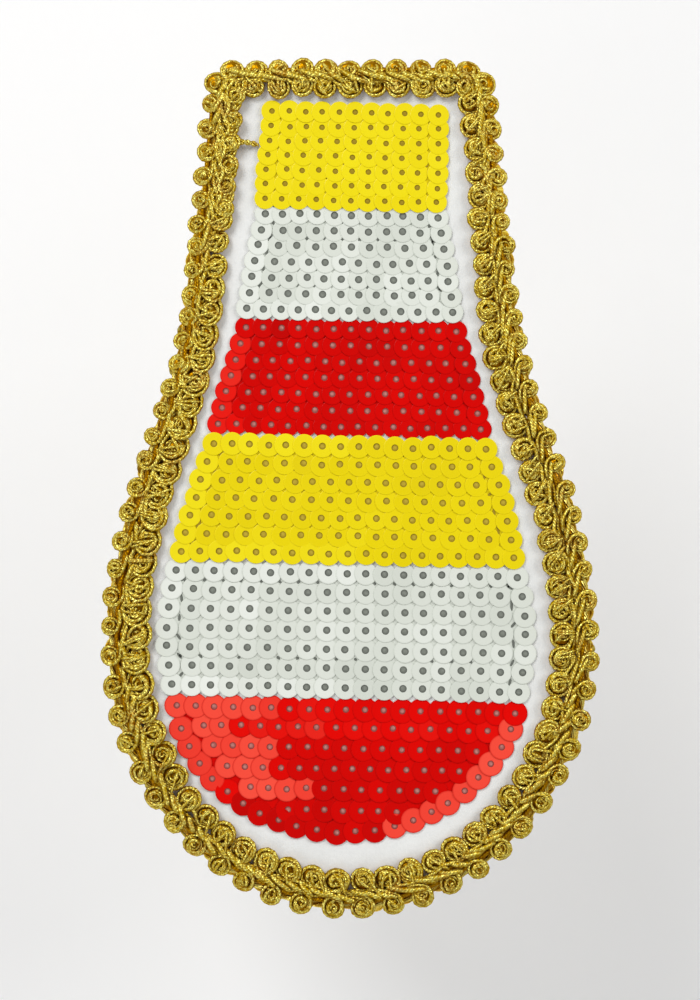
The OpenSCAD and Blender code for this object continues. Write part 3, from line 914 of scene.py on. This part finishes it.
# The seam's two cords, which wave round each other, painted darker as shade where the fuller loops cover them
s = np.arange(0, CENTRE_L + 1.0, 1.6)
full = np.array([fullness(v) for v in s])
for side in (-1, 1):
    off = SEAM_OFF + SEAM_SHIFT * full + side * (0.6 + 0.3 * np.sin(s * 1.1 + side))
    z = BRAID_Z + 0.75 + 0.25 * np.sin(s * 1.1 + side + 1.5)
    seam.cord(along_path(CENTRE, s, off, z + 0.3), UP, 0.6, 5, 0.7 - 0.5 * full, 0.1)
# One more under the outer loops' stems, where it closes the braid against the board's edge, painted mostly in
# crease shade
off = 1.9 + 0.1 * np.sin(s * 0.9)
seam.cord(along_path(CENTRE, s, off, BRAID_Z + 0.6 + 0 * s), UP, 0.6, 5, 0.35, 0.1)
# Loose slanting lengths along the seam, some one way and some the other, most of them at the two ends
for s in np.arange(0, CENTRE_L, 3.1):
    x = float(walk(CENTRE, s)[0])
    at_end = toward_ends(x, 80, 8, -42)
    u = np.linspace(-0.5, 0.5, 7)
    slant = rng.choice([-1, 1]) * rng.uniform(0.6, 1.8) if at_end < 0.5 else rng.uniform(1.0, 2.2)
    run = rng.uniform(4.5, 7.0) - 1.0 * at_end
    z = BRAID_Z + 1.85 + 0.4 * np.cos(math.pi * u) + rng.uniform(-0.1, 0.2)
    path = along_path(CENTRE, s + run * u, SEAM_OFF + rng.normal(0, 0.35) + slant * u, z)
    if rng.random() < mix(0.3, 1.0, at_end):
        add_strand(seam, path, SEAM_CORD_R * mix(1.1, 1.35, at_end))

# The overlap of the braid's two ends, and the tail of cord that was left there. Those points of the outline
# are the ones of the neck's straight side.
LAP_FROM, LAP_TO = 91.0, 64.5
STRAIGHT_SIDE = slice(6, 20)
lap = Bundle()
side_s = float(np.interp(-LAP_FROM, -CENTRE[1][STRAIGHT_SIDE, 0], CENTRE[0][STRAIGHT_SIDE]))
lap_l = LAP_FROM - LAP_TO
lap_s = side_s + np.arange(0, lap_l, 5.2)
for s in lap_s:
    centre, n, t, outer = add_loop(lap, s + rng.normal(0, 0.15), -1, -3.1, 2.4, BRAID_Z + 0.95)
    add_core(lap, centre, 2.3)
    if rng.random() < 0.6:
        add_crossing(lap, centre, n, t, outer)
s = np.linspace(side_s - 3, side_s + lap_l, 60)
for turn in (0.0, math.pi):
    off = -0.6 + 0.6 * np.cos(s * 0.9 + turn)
    z = BRAID_Z + 2.1 + 0.4 * np.sin(s * 0.9 + turn)
    lap.cord(along_path(CENTRE, s, off, z), UP, 0.45, 6, 1.0, 0.04)
TAIL_X, TAIL_Y, TAIL_L, TAIL_PLY_OFF = 80.3, 25.2, 4.0, 0.34
u = np.linspace(0, 1, 22)
for turn in (0.0, math.pi):
    path = np.column_stack([
        TAIL_X + TAIL_PLY_OFF * np.cos(u * 9 + turn) - 0.5 * u * u, TAIL_Y - TAIL_L * u,
        BRAID_Z + mix(1.9, 0.55, u) + TAIL_PLY_OFF * np.sin(u * 9 + turn)])
    lap.cord(path, UP, np.interp(u, [0, 0.85, 1], [0.4, 0.36, 0.12]), 6, 1.0, 0.2)

for bundle, name in ((outer_loops, "outer_loops"), (inner_loops, "inner_loops"), (seam, "seam_cords"),
                     (lap, "lapped_end")):
    nodes = ("loop_braid",) if name == "outer_loops" else ()
    dress(bundle.piece("braid_" + name), braid_gold, "gold_braid", *nodes)


# The fringe.
# Soft satin-smooth cords of two gold plies, each turned back on itself at its end, hang from a heading of the
# same yarn, which is laid in long slanting turns and sewn to the board's edge under the braid.
CORD_COUNT, CORD_PITCH, CORD_D = 44, 8.5, 6.0
PLY_R = 1.66
TWIST_PITCH, STEPS_PER_TURN = 14.4, 18
# A cord's length below the heading, how far single ones depart from it, and how much more it is at the tip
CORD_L, CORD_L_SPREAD, LONGER_AT_TIP = 66.0, 5.0, 6.0
# The heading, its gap to the felt's edge, and how far the cords begin inside it
HEADING_H, HEADING_T, EDGE_GAP, BURIED = 9.0, 3.4, 0.3, 4.0
HEADING_TOP = BRAID_Z - 0.1
CORD_TOP = HEADING_TOP - HEADING_H + BURIED
HEADING = walk_table(BOARD_PAST + EDGE_GAP + HEADING_T / 2)
TIP_S = HEADING[0][-1]
LAST_CORD = CORD_COUNT - 1
# How far a cord's end hangs out, on the sides and at the tip, and how far single ones depart from that
SIDE_FLARE, TIP_FLARE, FLARE_SPREAD = 2.5, 15.0, 2.5
# How far it leans along the edge toward the tip, and the uneven groups in which neighbours hang together
NECK_LEAN, SIDE_LEAN, LEAN_SPREAD = -6.0, 12.0, 0.3
HUDDLE, HUDDLE_TURN = 2.2, 62
# The single cord at each end swings out to the side, and so reaches less far down
SWING, SWING_DROP = -45.0, 0.9


def vary(i, k):
    """A number from 0 to 1 that looks unordered, the same for a cord every time."""
    return ((i + 1) * 0.618034 + k * 0.37) % 1.0


def cord_s(i):
    """Where a cord hangs, as a distance along the heading."""
    return TIP_S + (i - LAST_CORD / 2) * CORD_PITCH


def tipward(i):
    """How near a cord is to the tip, from 0 for the end cords to 1."""
    return 1 - abs(2 * i / LAST_CORD - 1)


def cord_length(i):
    """A cord's length below the heading."""
    return CORD_L + CORD_L_SPREAD * (2 * vary(i, 1) - 1) + LONGER_AT_TIP * tipward(i)


def cord_axis(i, u):
    """The middle line of a hanging cord, from inside the heading at 0 to its end at 1."""
    toward_tip = tipward(i)
    swings = i in (0, LAST_CORD)
    way = 1 if 2 * i < LAST_CORD else -1
    s = cord_s(i)
    p, n = walk(HEADING, s), outward(HEADING, s)
    t = np.array([-n[1], n[0]]) * way
    lean_out = mix(SIDE_FLARE, TIP_FLARE, toward_tip**1.5) + FLARE_SPREAD * vary(i, 2)
    lean = mix(NECK_LEAN, SIDE_LEAN, smooth_step((toward_tip - 0.08) / 0.34))
    lean = lean * (1 - smooth_step((toward_tip - 0.7) / 0.3)) + LEAN_SPREAD * (2 * vary(i, 3) - 1)
    lean += HUDDLE * smooth_step((toward_tip - 0.06) / 0.16) * math.sin(math.radians(HUDDLE_TURN * i))
    lean = SWING if swings else lean
    sway = 0.8 * np.sin(np.radians(360 * (1.2 * u + 0.06 * i))) * u
    q = p + n * (lean_out * u**1.2)[:, None] + t * (lean * u**1.6 + sway)[:, None]
    return np.column_stack([q, CORD_TOP - (cord_length(i) * (SWING_DROP if swings else 1) + BURIED) * u])


def add_hanging_cord(bundle, i):
    """Two plies twisted together, joined by a bend at the end."""
    length = cord_length(i) + BURIED
    u = np.linspace(0, 1, round(length / TWIST_PITCH * STEPS_PER_TURN))
    axis = cord_axis(i, u)
    ahead = np.gradient(axis, axis=0)
    ahead /= np.linalg.norm(ahead, axis=1, keepdims=True)
    east = EAST - ahead * ahead[:, :1]
    east /= np.linalg.norm(east, axis=1, keepdims=True)
    north = np.cross(east, ahead)
    turn = 2 * math.pi * (vary(i, 5) - length * u / TWIST_PITCH)
    out = east * np.cos(turn)[:, None] + north * np.sin(turn)[:, None]
    offset = CORD_D / 2 - PLY_R
    # At the end the plies bow apart, more in some cords than in others
    spread = offset * (1 + vary(i, 7) ** 2 * smooth_step((u - 0.95) / 0.05))[:, None]
    down = axis + out * spread
    up = (axis - out * spread)[::-1]
    end = np.linspace(0, math.pi, 9)[1:-1, None]
    bend = axis[-1] + out[-1] * spread[-1] * np.cos(end) + ahead[-1] * (spread[-1] + 0.3) * np.sin(end)
    bend_side = out[-1] * np.cos(end) + ahead[-1] * np.sin(end)
    path = np.vstack([down, bend, up])
    side = np.vstack([out, bend_side, -out[::-1]])
    from_end = abs(np.linspace(-1, 1, len(path))) * length
    # Painted shade between the plies, less deep near the end, where they bow apart
    open_low = 0.7 * smooth_step(1 - from_end / 7)
    bundle.cord(path, side, PLY_R * mix(0.96, 1.04, vary(i, 9)), 12, 1.0, open_low)


# The heading's rows, with their height and where their turn begins, and the heights of the core behind them
HEADING_ROWS = [(0.65, 0.3), (-3.75, 2.4)]
HEADING_CORES = (0.65, -1.6, -3.75, -5.3)
HEADING_TWIST, HEADING_PLY_R = 27.0, 0.98


def add_heading(bundle, start, end):
    """Rows of three-ply cord in long slanting turns round a core, between two distances on the edge."""
    s = np.linspace(start, end, max(4, round((end - start) / 0.9)))
    n = outward(HEADING, s)
    for row, (z, phase) in enumerate(HEADING_ROWS):
        for ply in range(3):
            turn = 2 * math.pi * (s / HEADING_TWIST + ply / 3) + phase + 0.5 * np.sin(s / 17.0 + 2 * row)
            off, rise = np.cos(turn), np.sin(turn)
            path = along_path(HEADING, s, 0.62 * off, z + 1.15 * rise)
            side = np.column_stack([n * off[:, None], 0.8 * rise])
            ply_r = HEADING_PLY_R * (1 + 0.1 * np.sin(s / 3.7 + 2 * ply))
            # Painted shade in the creases, kept light where the braid above shades the heading
            bundle.cord(path, side, ply_r, 10, 1.0, 0.28)
    # The core behind the rows is painted half in shade
    for z in HEADING_CORES:
        bundle.cord(along_path(HEADING, s, 0 * s, z + 0 * s), UP, 1.15, 8, 0.62, 0.5)


# The crease colour is painted shade, and the bright one a painted highlight along each ply's crest
FRINGE_LOOK = {
    "Strands": 11.0, "Slant": 0.2, "Glint scale": 900.0, "Crest": 1.0,
    "Crease from": 0.46, "Crease to": 1.0, "Dullest": 0.34, "Shiniest": 0.16,
    "Crease": paint(130, 80, 0), "Body": paint(186, 136, 0), "Bright": paint(255, 245, 134),
    "Dull": paint(160, 100, 0)}
fringe_gold = gold_material("gold_cord", FRINGE_LOOK, metallic=0.9, strand_relief=0.0002)
# Each length of the fringe, with its first and last cord
SECTIONS = {
    "back_end_cord": (0, 0), "back_neck": (1, 8), "back_side": (9, 17), "round_end": (18, 25),
    "front_side": (26, 34), "front_neck": (35, 42), "front_end_cord": (43, 43)
}
for name, (first, last) in SECTIONS.items():
    bundle = Bundle()
    add_heading(bundle, cord_s(first) - CORD_PITCH / 2, cord_s(last) + CORD_PITCH / 2)
    for i in range(first, last + 1):
        add_hanging_cord(bundle, i)
    dress(bundle.piece(f"cords_{name}"), fringe_gold, "gold_cord", f"fringe_{name}")


# The studio.
# A plain pale floor below the hanging fringe, broad soft lamps, and a camera straight above the epaulette,
# which shows the neck end at the top.
scene = bpy.context.scene
scene.view_settings.view_transform = "Standard"
floor_material, _, shader = new_material("pale_floor")
shader.inputs["Base Color"].default_value = (0.98, 0.98, 0.98, 1)
shader.inputs["Roughness"].default_value = 0.9
FLOOR_Z, FLOOR_HALF = -170.0, 4000.0
corners = [(-1, -1), (1, -1), (1, 1), (-1, 1)]
floor = new_piece("floor", [(x * FLOOR_HALF, y * FLOOR_HALF, FLOOR_Z) for x, y in corners], [[0, 1, 2, 3]])
floor.data.materials.append(floor_material)

world = bpy.data.worlds.new("studio")
world.use_nodes = True
background = world.node_tree.nodes["Background"]
background.inputs["Color"].default_value = (1.0, 1.0, 1.0, 1)
background.inputs["Strength"].default_value = 0.42
scene.world = world


def add_lamp(name, place_at, size, power):
    """A square soft lamp that faces the epaulette."""
    light = bpy.data.lights.new(name, "AREA")
    light.size = size
    light.energy = power
    lamp = bpy.data.objects.new(name, light)
    lamp.location = place_at
    x, y, z = place_at
    lamp.rotation_euler = (math.atan2(math.hypot(x, y), z), 0, math.atan2(y, x) + math.pi / 2)
    scene.collection.objects.link(lamp)


add_lamp("key_lamp", (0.75, 0.55, 0.95), 0.6, 8.5)
add_lamp("fill_lamp", (0.45, -1.0, 0.65), 0.6, 6)
add_lamp("back_lamp", (-0.9, 0.7, 0.6), 0.7, 3)

camera = bpy.data.objects.new("camera", bpy.data.cameras.new("camera"))
# The camera's height over the sequins, the length that the picture's height covers there, and its middle
CAMERA_UP, FRAME_H, FRAME_X, SEQUINS_Z = 0.44, 0.232, -0.0027, 0.004
camera.data.lens = camera.data.sensor_width * CAMERA_UP / FRAME_H
camera.location = (FRAME_X, 0.0, CAMERA_UP + SEQUINS_Z)
camera.rotation_euler = (0, 0, -math.pi / 2)
scene.collection.objects.link(camera)
scene.camera = camera
